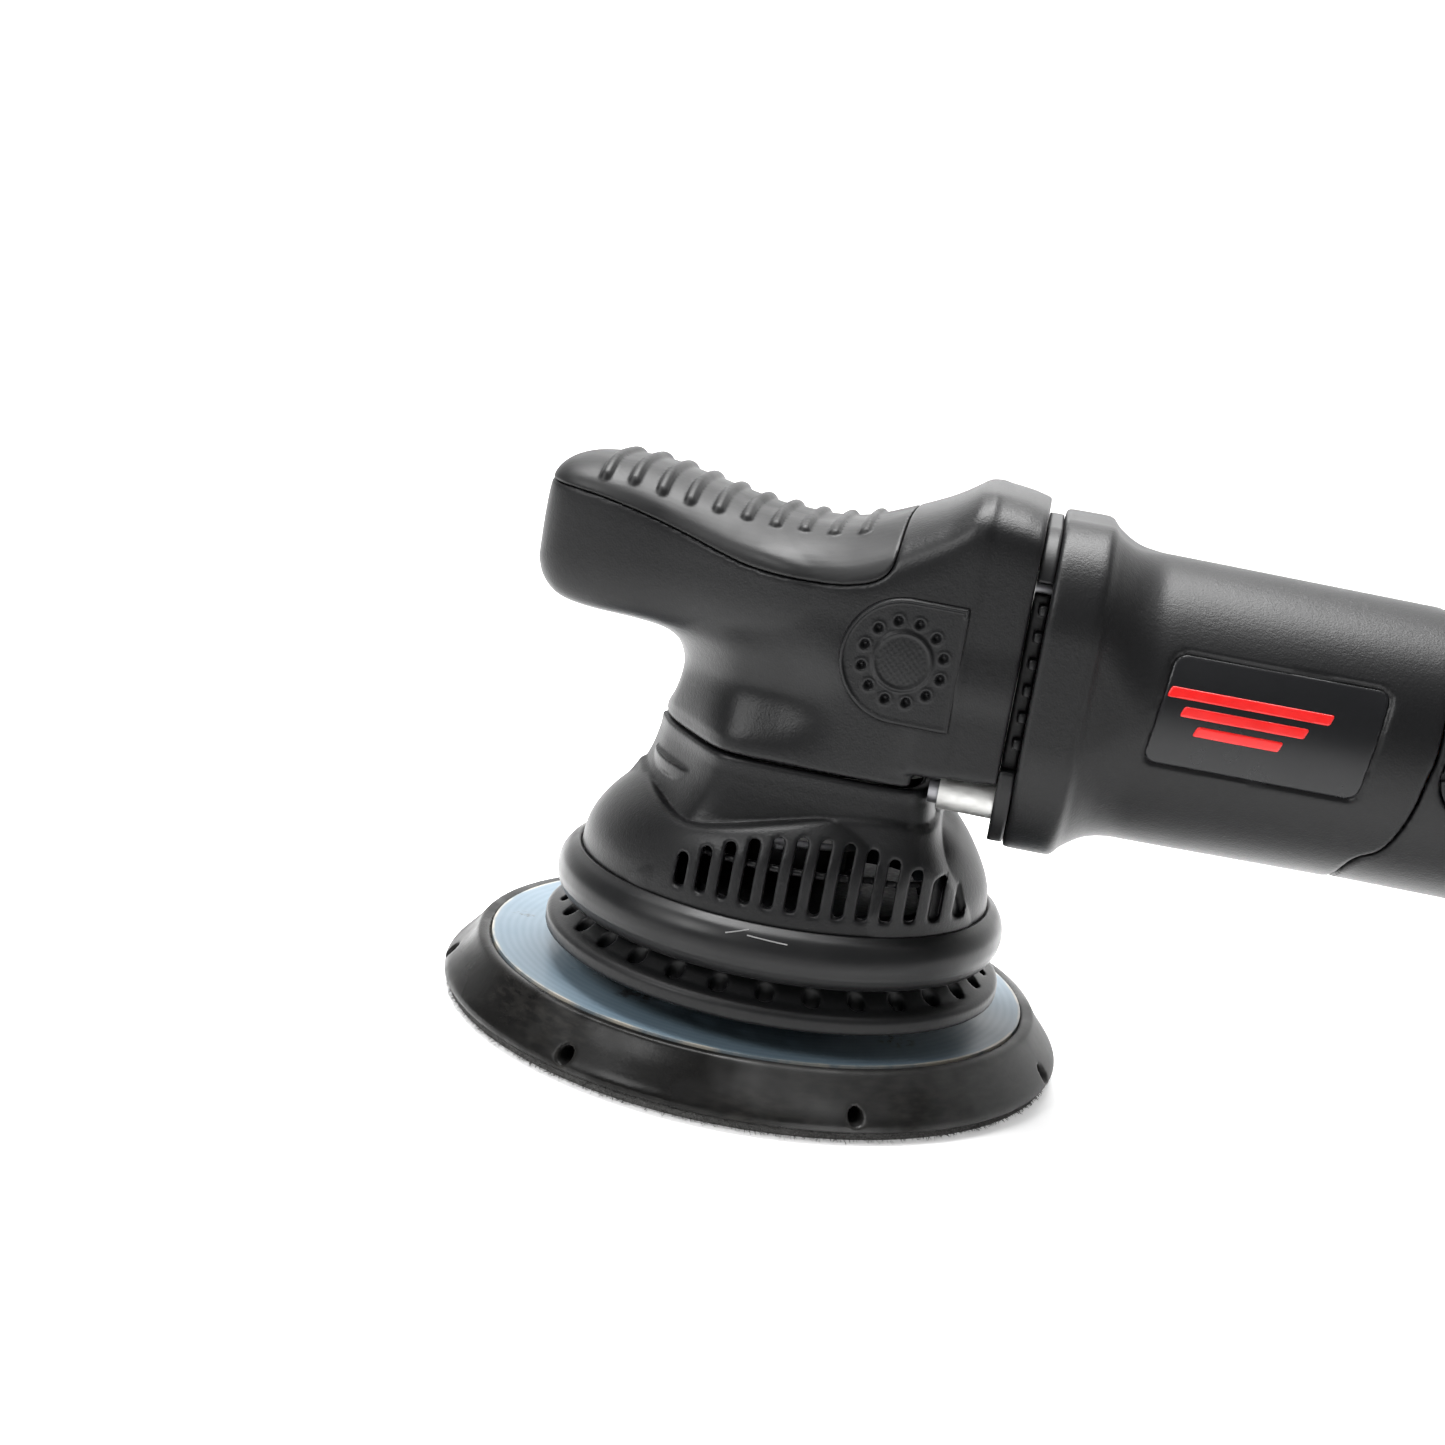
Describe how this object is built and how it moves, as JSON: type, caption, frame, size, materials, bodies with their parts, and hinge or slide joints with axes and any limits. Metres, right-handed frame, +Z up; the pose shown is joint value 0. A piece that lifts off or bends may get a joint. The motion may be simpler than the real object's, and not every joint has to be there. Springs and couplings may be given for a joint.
{
  "type": "dual action polisher",
  "caption": "Long-throw dual action polisher: ribbed palm head, vented shroud over an eccentric drive, foam backing plate, barrel motor housing and rear handle with trigger.",
  "frame": {"origin": "spindle axis where it meets the plane of the backing plate's pad face", "axes": "+Z up the spindle towards the palm head, +X back along the motor towards the cord inlet"},
  "size_m": [0.4162, 0.15, 0.1385],
  "materials": {
    "housing_black": "fine moulded grain, satin",
    "grip_rubber": "soft-touch, slightly glossy",
    "trim_black": "smooth moulded",
    "cast_alloy": "die-cast, fine blasted",
    "bright_steel": "ground and plated",
    "dark_steel": "dark zinc",
    "laminations": "stacked sheet edges",
    "copper": "varnished winding",
    "brass": "pressed",
    "carbon": "pressed carbon",
    "fan_white": "moulded",
    "label_black": "printed film",
    "stripe_red": "printed",
    "disc_blue": "glass-filled sheet",
    "foam_black": "skinned polyurethane foam",
    "hook_dark": "hook cloth",
    "switch_blue": "moulded",
    "board_green": "lacquered board",
    "dial_red": "moulded"
  },
  "bodies": {
    "body": {"head_cover": "housing_black", "palm_grip": "grip_rubber", "side_badges": "housing_black", "gear_case": "cast_alloy", "bearing_retainer": "dark_steel", "retainer_screws": "dark_steel", "spindle_bearing_outers": "bright_steel", "motor_bearing_outers": "bright_steel", "shroud": "housing_black", "shroud_screws": "dark_steel", "bumper_ring": "grip_rubber", "skirt_flange": "trim_black", "air_ring": "trim_black", "case_screws": "dark_steel", "motor_housing": "housing_black", "name_plates": "label_black", "plate_stripes": "stripe_red", "stator_core": "laminations", "field_coils": "copper", "fan_baffle": "trim_black", "brush_carrier": "trim_black", "rear_bearing_spider": "trim_black", "brush_holders": "brass", "carbon_brushes": "carbon", "brush_springs": "bright_steel", "brush_caps": "trim_black", "handle_left": "housing_black", "handle_right": "housing_black", "handle_overmould": "grip_rubber", "intake_grilles": "trim_black", "handle_screws": "dark_steel", "switch_module": "switch_blue", "speed_board": "board_green", "cord_gland": "trim_black", "trigger_spring": "bright_steel"},
    "armature": {"motor_shaft": "bright_steel", "armature_core": "laminations", "armature_winding": "copper", "commutator": "copper", "cooling_fan": "fan_white", "bevel_pinion": "bright_steel", "motor_bearing_inners": "bright_steel"},
    "eccentric": {"spindle": "bright_steel", "crown_gear": "bright_steel", "spindle_bearing_inners": "bright_steel", "eccentric_hub": "cast_alloy", "counterweight": "cast_alloy", "weight_screws": "bright_steel", "pad_bearing_outers": "bright_steel", "circlip": "dark_steel"},
    "plate": {"pad_spindle": "bright_steel", "pad_bearing_inners": "bright_steel", "drive_plate": "bright_steel", "backing_disc": "disc_blue", "foam_plate": "foam_black", "hook_face": "hook_dark", "plate_bolt": "bright_steel"},
    "trigger_lever": {"trigger": "trim_black"},
    "lock": {"lock_button": "trim_black"},
    "dial": {"speed_dial": "dial_red"}
  },
  "joints": [
    {"name": "spindle_spin", "type": "hinge", "parent": "body", "child": "eccentric", "pos_m": [0, 0, 0.06], "axis": [0, 0, 1], "continuous": true},
    {"name": "armature_spin", "type": "hinge", "parent": "body", "child": "armature", "pos_m": [0.09, 0, 0.097], "axis": [1, 0, 0], "continuous": true},
    {"name": "plate_spin", "type": "hinge", "parent": "eccentric", "child": "plate", "pos_m": [-0.00369, 0.00983, 0.03], "axis": [0, 0, 1], "continuous": true},
    {"name": "trigger_squeeze", "type": "hinge", "parent": "body", "child": "trigger_lever", "pos_m": [0.2455, 0, 0.0789], "axis": [0, 1, 0], "range_deg": [0, 4.5], "stiffness_Nm_per_rad": 2, "springref_deg": -20.05, "deforming": ["trigger_spring"]},
    {"name": "lock_press", "type": "slide", "parent": "body", "child": "lock", "axis": [0, 1, 0], "range_m": [0, 0.002], "stiffness_N_per_m": 400, "springref_m": -0.002},
    {"name": "speed_turn", "type": "hinge", "parent": "body", "child": "dial", "pos_m": [0.2815, 0, 0.1085], "axis": [0, 1, 0], "range_deg": [0, 270]}
  ],
  "couplings": [
    {"joint": "armature_spin", "follows": "spindle_spin", "ratio": 4.1111}
  ]
}
